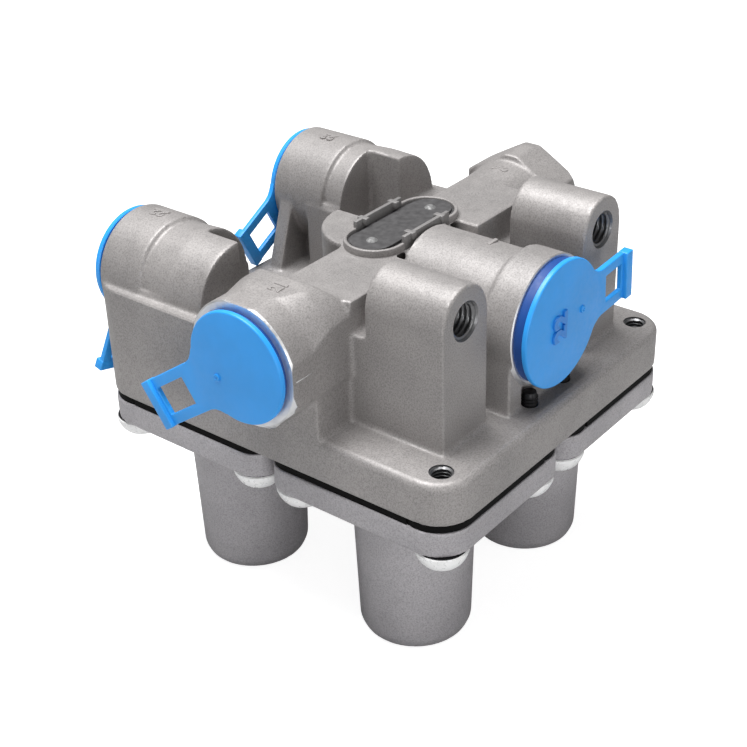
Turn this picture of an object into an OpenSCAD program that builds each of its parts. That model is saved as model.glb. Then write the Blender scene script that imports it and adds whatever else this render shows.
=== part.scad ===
// Four-circuit air protection valve: a cast body with five ports, four spring housings bolted
// under it, and the diaphragm valves, springs, check valves, caps and screws that belong to it.
// Sizes are in millimetres. The origin is midway between the two bracket bolt holes, on the
// machined faces of their bosses. +Z is up, -Y points out of the bolt holes, +X to the open port.
// Every module works from the middle of the flange underside; placed() moves it to the origin.

/* [Flange] */
// Length of the flange along X
flange_x = 111; // [100:1:130]
// Width of the flange along Y
flange_y = 125; // [115:1:145]
// Thickness of the flange
flange_t = 12.5; // [10:0.5:18]
// Corner radius of the flange
flange_r = 10.5; // [8:0.5:12]
// Softened edge on the flange rim
edge_cut = 1.2; // [0.5:0.1:2]

/* [Ports] */
// Height of the port axes above the flange underside
port_z = 34.5; // [33:0.5:42]
// Drill radius of the port threads
port_drill_r = 10.25; // [8:0.05:11]
// Depth of the port threads
port_depth = 15.5; // [12:0.5:18]
// Radius of the front mouth collar
collar_r = 18; // [16:0.5:20]
// Radius of the front tube behind its collar
tube_r = 16; // [15:0.5:17]
// Radius of the two back mouth collars
back_collar_r = 16.5; // [15.5:0.1:18]
// Half width across the flats of the six-sided right mouth
hex_half = 15.6; // [15:0.1:17]
// Distance of the two back ports from the middle plane
back_port_x = 36.7; // [34:0.1:37]
// Distance of the back port mouths inside the flange edge
back_inset = 3; // [1:0.1:5]
// Distance of the front port mouth inside the flange edge
front_inset = 7.3; // [4:0.1:9]
// Length of the collar on the left back port
left_collar_len = 15.5; // [12:0.1:21]
// Length of the collar on the right back port
right_collar_len = 19.5; // [12:0.1:21]
// Length of the front collar
front_collar_len = 9.7; // [8:0.1:12]
// Offset in Y of the left port
side_port_y = -5.5; // [-8:0.5:-2]
// Offset in Y of the right port
right_port_y = -6.5; // [-8:0.5:-4]
// Reach of the left port mouth past the flange
left_reach = 9.3; // [6:0.1:14]
// Reach of the right port mouth past the flange
right_reach = 11; // [8:0.1:14]
// Half width of the left port across its flat sides
side_half = 17; // [15:0.5:18]

/* [Central tower] */
// Height of the flat top of the casting
top_z = 47.5; // [46:0.5:56]
// Radius of the round tower in the middle
tower_r = 17; // [15:0.5:20]
// Half length of the name plate recess
plate_half_x = 19.4; // [16:0.1:24]
// Half width of the name plate recess
plate_half_y = 7.8; // [6:0.1:9]
// Height of the rim around the name plate
plate_rim_h = 1.4; // [1:0.1:3]
// Height of the two straight walls beside the name plate
plate_wall_h = 3; // [1.5:0.1:4]

/* [Bracket bolt bosses] */
// Distance between the two bracket bolts
bolt_gap = 65; // [60:1:72]
// Height of the bracket bolts above the flange underside
bolt_z = 47; // [45:0.5:56]
// Machined face of the bolt bosses
boss_face_y = -51.3; // [-55:0.1:-50]
// Half width of a bolt boss
boss_half = 9.6; // [8:0.1:11]
// Drill radius of the bolt threads
bolt_drill_r = 4.25; // [3.3:0.05:5.2]
// Depth of the bolt threads
bolt_depth = 20; // [15:1:25]

/* [Spring housings] */
// Distance of the cup axes from the middle plane along X
cup_x = 28; // [27:0.5:32]
// Distance of the cup axes from the middle plane along Y
cup_y = 31; // [30:0.5:35]
// Outer radius of a cup where it leaves its plate
cup_top_r = 17.3; // [16.5:0.1:19]
// Outer radius of a cup near its bottom
cup_low_r = 16; // [15.8:0.1:18]
// Depth of the cup bottoms below the flange underside
cup_depth = 58.2; // [55:0.1:75]
// Thickness of a housing plate
plate_t = 7.5; // [6:0.5:10]
// Gap between neighbouring housings
housing_gap = 0.8; // [0.4:0.1:3]

/* [Fasteners] */
// Distance of the screws from the flange edges
screw_inset = 7.6; // [7:0.1:9]
// Distance of the inner screws from the middle planes
screw_mid = 8; // [7.4:0.1:10]
// Radius of a screw shank
screw_r = 2.95; // [2.4:0.05:3.2]
// Radius of a screw head
screw_head_r = 7.2; // [5.5:0.1:7.3]
// Height of a screw head
screw_head_h = 5.6; // [3:0.1:7]

/* [Diaphragm valves] */
// Thickness of the rubber diaphragm
rubber_t = 2; // [1:0.1:3]
// Radius of the diaphragm opening
web_r = 19.5; // [18:0.1:21]
// Outlet radius inside the valve seat
seat_bore_r = 6; // [4:0.1:7]
// Opening stroke of a valve
valve_stroke = 2.5; // [1:0.1:3]
// Mean coil radius of a main spring
coil_r = 12; // [10:0.1:12.2]
// Wire radius of a main spring
wire_r = 1.6; // [1:0.1:1.8]
// Number of turns of a main spring
coil_turns = 6; // [4:1:8]

/* [Check valves] */
// Radius of a check valve chamber
check_r = 6.5; // [5:0.1:8]
// Height of a check valve seat above the flange underside
check_seat_z = 12; // [10:0.5:14]

/* [Port caps] */
// Radius of the cap discs on the left and back ports
cap_r = 15.6; // [15:0.1:17.5]
// Radius of the cap disc on the front port
front_cap_r = 17.8; // [15:0.1:18]
// Thickness of a cap disc
cap_t = 1.6; // [1.2:0.1:3]
// Depth of a cap skirt
cap_skirt = 9; // [6:0.5:12]
// Length of the pull tab of the left cap from its axis
tab_reach_left = 37.6; // [30:0.1:42]
// Length of the pull tab of the front cap from its axis
tab_reach_front = 33.4; // [30:0.1:42]
// Length of the pull tabs of the back caps from their axes
tab_reach_back = 32.6; // [28:0.1:38]
// Width of a pull tab
tab_w = 14; // [10:0.5:16]
// Clearance of a cap skirt in its port
cap_fit = 0.05; // [0.02:0.01:0.1]

/* [Hidden] */
$fn = 64;
// Overlap that joins two solids of one piece
bond = 0.5;
// Small overshoot of a cut past a face
over = 1;
// Hairline between a cap shoulder and its port face
cap_seat = 0.02;
// Depth of the undercut below a cap disc
cap_undercut = 2.4;
// Radial clearance of a sliding part
slide_fit = 0.1;
half_x = flange_x / 2;
half_y = flange_y / 2;
// Mouth planes of the ports
left_mouth = half_x + left_reach;
right_mouth = half_x + right_reach;
back_mouth_y = half_y - back_inset;
front_mouth_y = front_inset - half_y;
bolt_x = bolt_gap / 2;
plate_top = -rubber_t;
plate_low = plate_top - plate_t;
cup_wall = 2.6;
cup_in_r = cup_low_r - cup_wall + 1;
cup_floor = 4.7;
cup_in_z = -cup_depth + cup_floor;
screw_hole_r = screw_r + 0.05;
screw_hole_z = flange_t - 1.5;
screw_pass_r = screw_r + 0.35;
// Tips of the screws: most end in the flange, two at the front stand proud of it
screw_tip = 8;
proud_tip = 16.5;
run_out_z = 19;
head_socket_r = screw_head_r * 0.45;
head_socket_depth = 2.6;
// Heights of the valve parts, all at the closed rest pose
seat_z = 1;
pocket_z = 6;
pocket_r = 20.5;
seat_tube_r = seat_bore_r + 2.4;
seal_t = 2.2;
seal_low = seat_z - seal_t;
seal_r = seat_tube_r + 1;
piston_base = 2;
piston_low = seal_low - piston_base;
web_t = 1.2;
web_low = piston_low - web_t;
dish_t = 2;
dish_low = web_low - dish_t;
dish_r = coil_r + wire_r;
stem_r = 4;
// The lugs stay clear of the straight chords of the coil
lug_r = coil_r - wire_r - 1.3;
lug_h = 3;
spring_low = cup_in_z + 3.5;
adjust_plate_t = 2;
adjust_r = 4;
adjust_recess = 0.8;
// Heights of the check valve parts
check_in_r = 4;
check_keep_t = 1.5;
check_disc_t = 3;
check_stroke = 1.5;
check_coil_r = 4;
check_wire_r = 0.5;
check_stem_r = 2;
check_stem_h = 3.5;
check_channel_z = check_seat_z + 5.5;
// Air passages
passage_r = 7;
side_passage_r = 6;
side_passage_y = -8;
feed_r = 5;
front_outlet_z = 29;
back_outlet_z = 14;
// Outer form of the casting
tall = 80;
wall_in_x = half_x - 19.5;
shelf_end_y = half_y - 16.5;
tube_cut = 1.2;
neck_slope = 12;
tower_step_x = 1;
tower_step_y = 8;
tower_step_z = 30;
foot_inset = 0.9;
block_inset = 0.4;
shelf_x = 19;
back_face_y = 21;
back_inner_y = 33;
low_block_z = 26;
notch_z = 38.5;
notch_front_y = -27;
neck_face_y = side_port_y - side_half;
neck_back_y = 0.5;
tube_end_y = -16;
wall_low_z = flange_t - edge_cut - bond;
fill_y = -38;
rib_y = 52;
rib_t = 5;
plate_mid_x = 0.4;
plate_mid_y = -6.5;
plate_thick = 0.8;
plate_floor_z = top_z + 0.9;
plate_rim_w = 1.3;
plate_pin_r = 1.1;
plate_pin_x = 13.2;

// Placement helpers

module placed() {
    translate([0, -boss_face_y, -bolt_z])
        children();
}

// Mirrors what is drawn in the back right quarter into one of the four quarters
module quarter(sx, sy) {
    placed()
        mirror([sx < 0 ? 1 : 0, 0, 0])
            mirror([0, sy < 0 ? 1 : 0, 0])
                children();
}

// Moves what is drawn on the Z axis to one of the four cup axes
module at_cup(sx, sy) {
    placed()
        translate([sx * cup_x, sy * cup_y, 0])
            children();
}

module both_sides() {
    children();
    mirror([1, 0, 0])
        children();
}

// Shape helpers

module box(x0, x1, y0, y1, z0, z1) {
    translate([x0, y0, z0])
        cube([x1 - x0, y1 - y0, z1 - z0]);
}

// A round bar along Z, Y or X that starts at a point
module bar_z(x, y, z0, z1, r) {
    translate([x, y, z0])
        cylinder(r = r, h = z1 - z0);
}

module bar_y(x, z, y0, y1, r) {
    translate([x, y0, z])
        rotate([-90, 0, 0])
            cylinder(r = r, h = y1 - y0);
}

module bar_x(y, z, x0, x1, r) {
    translate([x0, y, z])
        rotate([0, 90, 0])
            cylinder(r = r, h = x1 - x0);
}

// A cone frustum along Y, r0 at y0 and r1 at y1
module taper_y(x, z, y0, y1, r0, r1) {
    translate([x, y0, z])
        rotate([-90, 0, 0])
            cylinder(r1 = r0, r2 = r1, h = y1 - y0);
}

// A rectangle with four round corners
module round_plan(x0, x1, y0, y1, r) {
    translate([x0 + r, y0])
        square([x1 - x0 - 2 * r, y1 - y0]);
    translate([x0, y0 + r])
        square([x1 - x0, y1 - y0 - 2 * r]);
    for (x = [x0 + r, x1 - r], y = [y0 + r, y1 - r])
        translate([x, y])
            circle(r = r);
}

// A long oval
module oval_plan(half_len, r) {
    translate([-(half_len - r), -r])
        square([2 * (half_len - r), 2 * r]);
    for (s = [-1, 1])
        translate([s * (half_len - r), 0])
            circle(r = r);
}

// Casting

module flange_plan() {
    round_plan(-half_x, half_x, -half_y, half_y, flange_r);
}

// The flange with a cut edge around its top
module flange() {
    wide = flange_t - edge_cut;
    linear_extrude(wide)
        flange_plan();
    translate([0, 0, wide]) {
        for (x = [-1, 1], y = [-1, 1])
            translate([x * (half_x - flange_r), y * (half_y - flange_r), 0])
                cylinder(r1 = flange_r, r2 = flange_r - edge_cut, h = edge_cut);
        translate([-(half_x - flange_r), 0, 0])
            rotate([90, 0, 90])
                linear_extrude(2 * (half_x - flange_r))
                    edge_profile(half_y);
        translate([0, half_y - flange_r, 0])
            rotate([90, 0, 0])
                linear_extrude(2 * (half_y - flange_r))
                    edge_profile(half_x);
    }
}

module edge_profile(half) {
    polygon([[-half, 0], [half, 0], [half - edge_cut, edge_cut], [edge_cut - half, edge_cut]]);
}

// Flats of the left port seen along its axis: straight sides and two cut lower corners
module side_port_flats() {
    low = side_half * 0.47;
    polygon([[-side_half, -low], [-low, -side_half], [low, -side_half], [side_half, -low],
        [side_half, side_half], [-side_half, side_half]]);
}

// The left port, drawn along +X: round, with flats on all four sides and a turned mouth
module side_port(x0, x1) {
    round_r = side_half + 2.2;
    turned = 1.5;
    intersection() {
        translate([x0, side_port_y, port_z])
            rotate([90, 0, 90])
                linear_extrude(x1 - x0)
                    side_port_flats();
        union() {
            bar_x(side_port_y, port_z, x0 - over, x1 - turned, round_r);
            translate([x1 - turned, side_port_y, port_z])
                rotate([0, 90, 0])
                    cylinder(r1 = round_r, r2 = round_r - turned, h = turned);
        }
    }
}

// The open port on the right: a widening round neck and a six-sided mouth
module right_port(x0, x1, x2) {
    turned = 2;
    corner_r = hex_half * 1.08;
    translate([x0, right_port_y, port_z])
        rotate([0, 90, 0])
            cylinder(r1 = hex_half - 3, r2 = hex_half - 0.6, h = x1 - x0 + bond);
    intersection() {
        translate([x1, right_port_y, port_z])
            rotate([0, 90, 0])
                cylinder(r = hex_half / cos(30), h = x2 - x1, $fn = 6);
        union() {
            bar_x(right_port_y, port_z, x1 - over, x2 - turned, corner_r);
            translate([x2 - turned, right_port_y, port_z])
                rotate([0, 90, 0])
                    cylinder(r1 = corner_r, r2 = corner_r - turned / 2, h = turned);
        }
    }
}

// Left and right ports with the flat necks that join them to the tower
module side_ports() {
    step_x = half_x - 13.5;
    neck_end = half_x - 1.5;
    mirror([1, 0, 0])
        difference() {
            side_port(step_x - over, left_mouth);
            translate([step_x, 0, top_z])
                rotate([0, -45, 0])
                    box(-neck_slope, neck_slope, -half_y, half_y, 0, neck_slope);
        }
    right_port(tower_r + over, neck_end, right_mouth);
    both_sides() {
        box(tower_r - 3, step_x, neck_face_y, neck_back_y, flange_t - bond, top_z);
        box(wall_in_x, half_x, neck_face_y + 1, back_face_y + bond, wall_low_z, port_z);
    }
}

// Blocks under the two back ports, flush with the flange outline
module back_blocks() {
    block_y = back_mouth_y - block_inset;
    intersection() {
        linear_extrude(port_z)
            flange_plan();
        both_sides() {
            box(back_port_x, half_x, back_face_y, block_y, wall_low_z, port_z);
            box(shelf_x + 8, back_port_x + bond, back_inner_y, block_y, wall_low_z, port_z);
            box(shelf_x + 1, back_port_x + bond, back_inner_y, shelf_end_y, wall_low_z, port_z);
            box(shelf_x, back_port_x + bond, back_face_y, back_inner_y + bond, wall_low_z, low_block_z);
        }
    }
}

// A back port: round collar, then a tube that narrows inwards and is cut back on its inner side
module back_port(collar_len) {
    step_y = back_mouth_y - collar_len;
    difference() {
        union() {
            bar_y(back_port_x, port_z, step_y, back_mouth_y, back_collar_r);
            taper_y(back_port_x, port_z, back_face_y, step_y + bond, back_collar_r - 0.9,
                back_collar_r - 0.3);
        }
        box(0, back_port_x - tube_cut, 0, back_inner_y, 0, tall);
    }
}

// The slanted rib beside each back port
module back_rib() {
    translate([0, rib_y + rib_t, 0])
        rotate([90, 0, 0])
            linear_extrude(rib_t)
                polygon([[shelf_x + 1.5, port_z], [shelf_x - 6, flange_t - bond],
                    [shelf_x + 9, flange_t - bond], [shelf_x + 9, port_z]]);
}

module front_port() {
    step_y = front_mouth_y + front_collar_len;
    foot_half = collar_r - 1;
    bar_y(0, port_z, front_mouth_y, step_y, collar_r);
    bar_y(0, port_z, step_y - bond, tube_end_y, tube_r);
    box(-foot_half, foot_half, front_mouth_y + foot_inset, tube_end_y, flange_t - bond, port_z);
}

// A bolt boss: round top, straight sides, cut back behind by a notch
module bolt_boss() {
    intersection() {
        union() {
            bar_y(bolt_x, bolt_z, boss_face_y, neck_face_y + bond, boss_half);
            box(bolt_x - boss_half, bolt_x + boss_half, boss_face_y, neck_face_y + bond,
                flange_t - bond, bolt_z);
        }
        union() {
            box(0, half_x, -half_y, notch_front_y, 0, tall);
            box(0, half_x, -half_y, 0, 0, notch_z);
        }
    }
}

// Solid casting between the bolt bosses and the front port
module front_fill() {
    box(collar_r - 1 - bond, bolt_x - boss_half + bond, fill_y, neck_face_y + bond,
        flange_t - bond, port_z);
}

module plate_seat() {
    base_half = plate_half_x + plate_rim_w;
    base_r = plate_half_y + plate_rim_w;
    wall_x = 10.2;
    lug_x = 6.7;
    low = top_z - bond;
    translate([plate_mid_x, plate_mid_y, 0]) {
        difference() {
            translate([0, 0, low])
                linear_extrude(plate_floor_z + plate_rim_h - low)
                    oval_plan(base_half, base_r);
            translate([0, 0, plate_floor_z])
                linear_extrude(plate_rim_h + over)
                    oval_plan(plate_half_x, plate_half_y);
        }
        // straight walls along both long sides, each with two short cross lugs
        for (s = [-1, 1]) {
            mid = s * (plate_half_y + plate_rim_w / 2);
            box(-wall_x, wall_x, mid - 0.6, mid + 0.6, low, plate_floor_z + plate_wall_h);
            for (x = [-lug_x, lug_x])
                box(x - 0.7, x + 0.7, mid - s * 0.3 - 1.4, mid - s * 0.3 + 1.4,
                    plate_floor_z + 1.2, plate_floor_z + plate_wall_h - 0.2);
        }
    }
}

// The round tower, stepped back behind the right half of the name plate
module tower() {
    difference() {
        bar_z(0, 0, flange_t - bond, top_z, tower_r);
        box(tower_step_x, tower_r + over, tower_step_y, tower_r + over, tower_step_z, tall);
    }
}

module casting_solid() {
    flange();
    back_blocks();
    back_port(right_collar_len);
    mirror([1, 0, 0])
        back_port(left_collar_len);
    both_sides() {
        back_rib();
        bolt_boss();
        front_fill();
    }
    front_port();
    side_ports();
    tower();
    plate_seat();
}

// Threaded mouth of a port drawn along +Y from its mouth plane
module port_bore_y(x, mouth, dir) {
    lead = 1;
    a = mouth;
    b = mouth + dir * port_depth;
    bar_y(x, port_z, min(a - dir * over, b), max(a - dir * over, b), port_drill_r);
    taper_y(x, port_z, min(a, a + dir * lead), max(a, a + dir * lead),
        dir > 0 ? port_drill_r + lead : port_drill_r,
        dir > 0 ? port_drill_r : port_drill_r + lead);
}

module port_bore_x(mouth, y) {
    lead = 1;
    bar_x(y, port_z, mouth - port_depth, mouth + over, port_drill_r);
    translate([mouth - lead, y, port_z])
        rotate([0, 90, 0])
            cylinder(r1 = port_drill_r, r2 = port_drill_r + lead, h = lead);
}

module screw_places() {
    for (x = [screw_mid, half_x - screw_inset], y = [screw_mid, half_y - screw_inset])
        translate([x, y, 0])
            children();
}

module casting_cuts() {
    // ports
    port_bore_y(0, front_mouth_y, 1);
    port_bore_x(right_mouth, right_port_y);
    mirror([1, 0, 0])
        port_bore_x(left_mouth, side_port_y);
    both_sides()
        port_bore_y(back_port_x, back_mouth_y, -1);
    // supply from the front port to the valve pockets and the check valves
    bar_y(0, port_z, front_mouth_y + port_depth - over, 4, passage_r + 1);
    bar_z(0, 0, check_channel_z - 3, port_z, feed_r);
    bar_z(0, -cup_y, 4, port_z, feed_r);
    bar_x(-cup_y, 4, -(cup_x - seat_tube_r - 3), cup_x - seat_tube_r - 3, 2);
    bar_x(0, check_channel_z, -cup_x, cup_x, 3.5);
    both_sides() {
        // outlets of the front circuits to the side ports
        bar_x(side_passage_y, port_z, cup_x - 3, left_mouth - port_depth + over, side_passage_r);
        bar_z(cup_x, -cup_y, seat_z - 2, front_outlet_z, seat_bore_r);
        bar_y(cup_x, front_outlet_z, -cup_y, side_passage_y, seat_bore_r - 0.5);
        // outlets of the back circuits to the back ports
        bar_y(back_port_x, port_z, back_inner_y + 3, back_mouth_y - port_depth + over, passage_r);
        bar_z(cup_x, cup_y, seat_z - 2, back_outlet_z, seat_bore_r);
        bar_y(cup_x + 2, back_outlet_z, cup_y, cup_y + 9, seat_bore_r - 1);
        bar_z(cup_x + 4, cup_y + 9, back_outlet_z, port_z - 2, seat_bore_r - 0.5);
        // check valve chambers
        bar_z(cup_x, 0, -over, check_seat_z, check_r);
        bar_z(cup_x, 0, check_seat_z - over, check_channel_z, check_in_r);
        bar_y(cup_x, pocket_z - 0.5, 0, cup_y - pocket_r + 2, 2);
        // bolt threads
        bar_y(bolt_x, bolt_z, boss_face_y - over, boss_face_y + bolt_depth, bolt_drill_r);
        for (s = [-1, 1])
            mirror([0, s < 0 ? 1 : 0, 0]) {
                // valve pocket around its seat
                difference() {
                    bar_z(cup_x, cup_y, -over, pocket_z, pocket_r);
                    bar_z(cup_x, cup_y, seat_z, pocket_z + over, seat_tube_r);
                }
                screw_places()
                    translate([0, 0, -over])
                        cylinder(r = screw_hole_r, h = over + screw_hole_z);
            }
        // the outer screw threads run out through the top of the flange
        for (x = [screw_mid, half_x - screw_inset], y = [-1, 1])
            bar_z(x, y * (half_y - screw_inset), 0, run_out_z, screw_hole_r);
        bar_z(half_x - screw_inset, -screw_mid, 0, run_out_z, screw_hole_r);
    }
}

module valve_body() color([0.68, 0.67, 0.65]) placed()
    difference() {
        casting_solid();
        casting_cuts();
    }

// Name plate

module name_plate() color([0.22, 0.22, 0.23]) placed()
    translate([plate_mid_x, plate_mid_y, plate_floor_z])
        difference() {
            linear_extrude(plate_thick)
                oval_plan(plate_half_x - 0.3, plate_half_y - 1.6);
            for (s = [-1, 1])
                translate([s * plate_pin_x, 0, -over])
                    cylinder(r = plate_pin_r, h = plate_thick + 2 * over);
        }

module name_plate_pins() color([0.75, 0.75, 0.76]) placed()
    for (s = [-1, 1])
        translate([plate_mid_x + s * plate_pin_x, plate_mid_y, plate_floor_z]) {
            cylinder(r = plate_pin_r, h = plate_thick);
            translate([0, 0, plate_thick])
                cylinder(r1 = plate_pin_r + 0.5, r2 = plate_pin_r - 0.3, h = 0.6);
        }

// Spring housings

module housing_plan(inset) {
    near = housing_gap / 2 + inset;
    r_small = screw_mid - near;
    x1 = half_x - inset;
    y1 = half_y - inset;
    r_big = flange_r - inset;
    translate([near + r_small, near])
        square([x1 - near - 2 * r_small, y1 - near - r_big]);
    translate([near, near + r_small])
        square([x1 - near, y1 - near - 2 * r_big]);
    translate([near + r_big, near + r_big])
        square([x1 - near - 2 * r_big, y1 - near - r_big]);
    for (p = [[near + r_small, near + r_small], [x1 - r_small, near + r_small],
            [near + r_small, y1 - r_small]])
        translate(p)
            circle(r = r_small);
    translate([x1 - r_big, y1 - r_big])
        circle(r = r_big);
}

// Outside of one cup, turned round its own axis
module cup_outside() {
    low = -cup_depth;
    rotate_extrude()
        polygon([[0, low], [cup_low_r - 3.2, low], [cup_low_r - 1, low + 0.9],
            [cup_low_r, low + 3.2], [cup_top_r, plate_low], [cup_top_r, plate_low + 2],
            [0, plate_low + 2]]);
}

module housing() {
    difference() {
        union() {
            translate([0, 0, plate_low])
                linear_extrude(plate_t)
                    housing_plan(0);
            translate([cup_x, cup_y, 0])
                cup_outside();
        }
        translate([cup_x, cup_y, 0]) {
            bar_z(0, 0, plate_low + 2.2, over, web_r);
            bar_z(0, 0, cup_in_z, plate_low + 3, cup_in_r);
            bar_z(0, 0, -cup_depth - over, cup_in_z + over, adjust_r + 0.05);
        }
        screw_places()
            translate([0, 0, plate_low - over])
                cylinder(r = screw_pass_r, h = plate_t + 2 * over);
    }
}

module spring_housing_front_left() color([0.5, 0.49, 0.48]) quarter(-1, -1) housing();
module spring_housing_front_right() color([0.5, 0.49, 0.48]) quarter(1, -1) housing();
module spring_housing_back_left() color([0.5, 0.49, 0.48]) quarter(-1, 1) housing();
module spring_housing_back_right() color([0.5, 0.49, 0.48]) quarter(1, 1) housing();

// Housing screws, four to a housing

module housing_screw(tip) {
    difference() {
        union() {
            bar_z(0, 0, plate_low, tip, screw_r);
            translate([0, 0, plate_low])
                rotate_extrude()
                    polygon([[0, 0], [screw_head_r, 0], [screw_head_r, -1.2],
                        [screw_head_r * 0.86, -screw_head_h * 0.72],
                        [screw_head_r * 0.6, -screw_head_h], [0, -screw_head_h]]);
        }
        translate([0, 0, plate_low - screw_head_h - over])
            cylinder(r = head_socket_r, h = over + head_socket_depth, $fn = 6);
    }
}

// The four screws of a housing; the one on its outer edge by the middle plane ends at mid_tip
module screw_set(mid_tip) {
    for (x = [screw_mid, half_x - screw_inset], y = [screw_mid, half_y - screw_inset])
        translate([x, y, 0])
            housing_screw(x == screw_mid && y > screw_mid ? mid_tip : screw_tip);
}

module housing_screws_front_left() color([0.9, 0.9, 0.9]) quarter(-1, -1) screw_set(proud_tip);
module housing_screws_front_right() color([0.9, 0.9, 0.9]) quarter(1, -1) screw_set(proud_tip);
module housing_screws_back_left() color([0.9, 0.9, 0.9]) quarter(-1, 1) screw_set(screw_tip);
module housing_screws_back_right() color([0.9, 0.9, 0.9]) quarter(1, 1) screw_set(screw_tip);

// Rubber diaphragms: a clamped rim and a web that bends

module diaphragm_rim() {
    difference() {
        translate([0, 0, -rubber_t])
            linear_extrude(rubber_t)
                housing_plan(0.5);
        bar_z(cup_x, cup_y, -rubber_t - over, over, web_r);
        screw_places()
            translate([0, 0, -rubber_t - over])
                cylinder(r = screw_pass_r, h = rubber_t + 2 * over);
    }
}

module diaphragm_rim_front_left() color([0.08, 0.08, 0.08]) quarter(-1, -1) diaphragm_rim();
module diaphragm_rim_front_right() color([0.08, 0.08, 0.08]) quarter(1, -1) diaphragm_rim();
module diaphragm_rim_back_left() color([0.08, 0.08, 0.08]) quarter(-1, 1) diaphragm_rim();
module diaphragm_rim_back_right() color([0.08, 0.08, 0.08]) quarter(1, 1) diaphragm_rim();

module diaphragm_web() {
    rotate_extrude()
        polygon([[stem_r + slide_fit, web_low], [dish_r - 0.8, web_low],
            [dish_r + 1.2, web_low - 0.6], [dish_r + 2.8, web_low], [web_r, -rubber_t],
            [web_r, -rubber_t + web_t], [dish_r + 2.8, web_low + web_t],
            [dish_r - 0.8, web_low + web_t], [stem_r + slide_fit, web_low + web_t]]);
}

module diaphragm_web_front_left() color([0.1, 0.1, 0.1]) at_cup(-1, -1) diaphragm_web();
module diaphragm_web_front_right() color([0.1, 0.1, 0.1]) at_cup(1, -1) diaphragm_web();
module diaphragm_web_back_left() color([0.1, 0.1, 0.1]) at_cup(-1, 1) diaphragm_web();
module diaphragm_web_back_right() color([0.1, 0.1, 0.1]) at_cup(1, 1) diaphragm_web();

// Valve piston with its rubber seal

module valve_seal() {
    bar_z(0, 0, seal_low, seat_z, seal_r);
}

module valve_seal_front_left() color([0.12, 0.12, 0.12]) at_cup(-1, -1) valve_seal();
module valve_seal_front_right() color([0.12, 0.12, 0.12]) at_cup(1, -1) valve_seal();
module valve_seal_back_left() color([0.12, 0.12, 0.12]) at_cup(-1, 1) valve_seal();
module valve_seal_back_right() color([0.12, 0.12, 0.12]) at_cup(1, 1) valve_seal();

module valve_piston() {
    difference() {
        bar_z(0, 0, piston_low, seat_z - 1, seal_r + 1.5);
        bar_z(0, 0, seal_low, seat_z + over, seal_r);
    }
    bar_z(0, 0, dish_low - lug_h - 1, piston_low + bond, stem_r);
}

module valve_piston_front_left() color([0.75, 0.75, 0.77]) at_cup(-1, -1) valve_piston();
module valve_piston_front_right() color([0.75, 0.75, 0.77]) at_cup(1, -1) valve_piston();
module valve_piston_back_left() color([0.75, 0.75, 0.77]) at_cup(-1, 1) valve_piston();
module valve_piston_back_right() color([0.75, 0.75, 0.77]) at_cup(1, 1) valve_piston();

module spring_dish() {
    difference() {
        union() {
            bar_z(0, 0, dish_low, web_low, dish_r - 0.8);
            bar_z(0, 0, dish_low - lug_h, dish_low + bond, lug_r);
        }
        bar_z(0, 0, dish_low - lug_h - over, web_low + over, stem_r);
    }
}

module spring_dish_front_left() color([0.6, 0.6, 0.55]) at_cup(-1, -1) spring_dish();
module spring_dish_front_right() color([0.6, 0.6, 0.55]) at_cup(1, -1) spring_dish();
module spring_dish_back_left() color([0.6, 0.6, 0.55]) at_cup(-1, 1) spring_dish();
module spring_dish_back_right() color([0.6, 0.6, 0.55]) at_cup(1, 1) spring_dish();

// Coil springs: the slice of a round wire by a level plane, turned as it rises

module coil(mean_r, wire, z0, z1, turns, sides, steps) {
    pitch = (z1 - z0 - 2 * wire) / turns;
    sweep = 360 * wire / pitch;
    half_sides = sides / 2;
    half_turn = 180;
    function rim(i, s) = let (t = half_turn * i / half_sides, a = sweep * cos(t))
        [(mean_r + s * wire * sin(t)) * cos(a), (mean_r + s * wire * sin(t)) * sin(a)];
    outer = [for (i = [0 : half_sides]) rim(i, 1)];
    inner = [for (i = [half_sides - 1 : -1 : 1]) rim(i, -1)];
    translate([0, 0, z0])
        linear_extrude(z1 - z0, twist = -360 * (z1 - z0) / pitch, slices = turns * steps,
            segments = sides)
            polygon(concat(outer, inner));
}

module main_spring() {
    coil(coil_r, wire_r, spring_low, dish_low, coil_turns, 10, 12);
}

module main_spring_front_left() color([0.55, 0.55, 0.58]) at_cup(-1, -1) main_spring();
module main_spring_front_right() color([0.55, 0.55, 0.58]) at_cup(1, -1) main_spring();
module main_spring_back_left() color([0.55, 0.55, 0.58]) at_cup(-1, 1) main_spring();
module main_spring_back_right() color([0.55, 0.55, 0.58]) at_cup(1, 1) main_spring();

// Adjusting plate and screw at the bottom of a cup

module adjusting_plate() {
    bar_z(0, 0, spring_low - adjust_plate_t, spring_low, dish_r - 0.3);
    bar_z(0, 0, spring_low - bond, spring_low + lug_h, lug_r);
}

module adjusting_plate_front_left() color([0.6, 0.6, 0.55]) at_cup(-1, -1) adjusting_plate();
module adjusting_plate_front_right() color([0.6, 0.6, 0.55]) at_cup(1, -1) adjusting_plate();
module adjusting_plate_back_left() color([0.6, 0.6, 0.55]) at_cup(-1, 1) adjusting_plate();
module adjusting_plate_back_right() color([0.6, 0.6, 0.55]) at_cup(1, 1) adjusting_plate();

module adjusting_screw() {
    low = -cup_depth + adjust_recess;
    difference() {
        bar_z(0, 0, low, spring_low - adjust_plate_t, adjust_r);
        translate([0, 0, low - over])
            cylinder(r = adjust_r * 0.55, h = over + 3, $fn = 6);
    }
}

module adjusting_screw_front_left() color([0.5, 0.5, 0.5]) at_cup(-1, -1) adjusting_screw();
module adjusting_screw_front_right() color([0.5, 0.5, 0.5]) at_cup(1, -1) adjusting_screw();
module adjusting_screw_back_left() color([0.5, 0.5, 0.5]) at_cup(-1, 1) adjusting_screw();
module adjusting_screw_back_right() color([0.5, 0.5, 0.5]) at_cup(1, 1) adjusting_screw();

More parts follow.
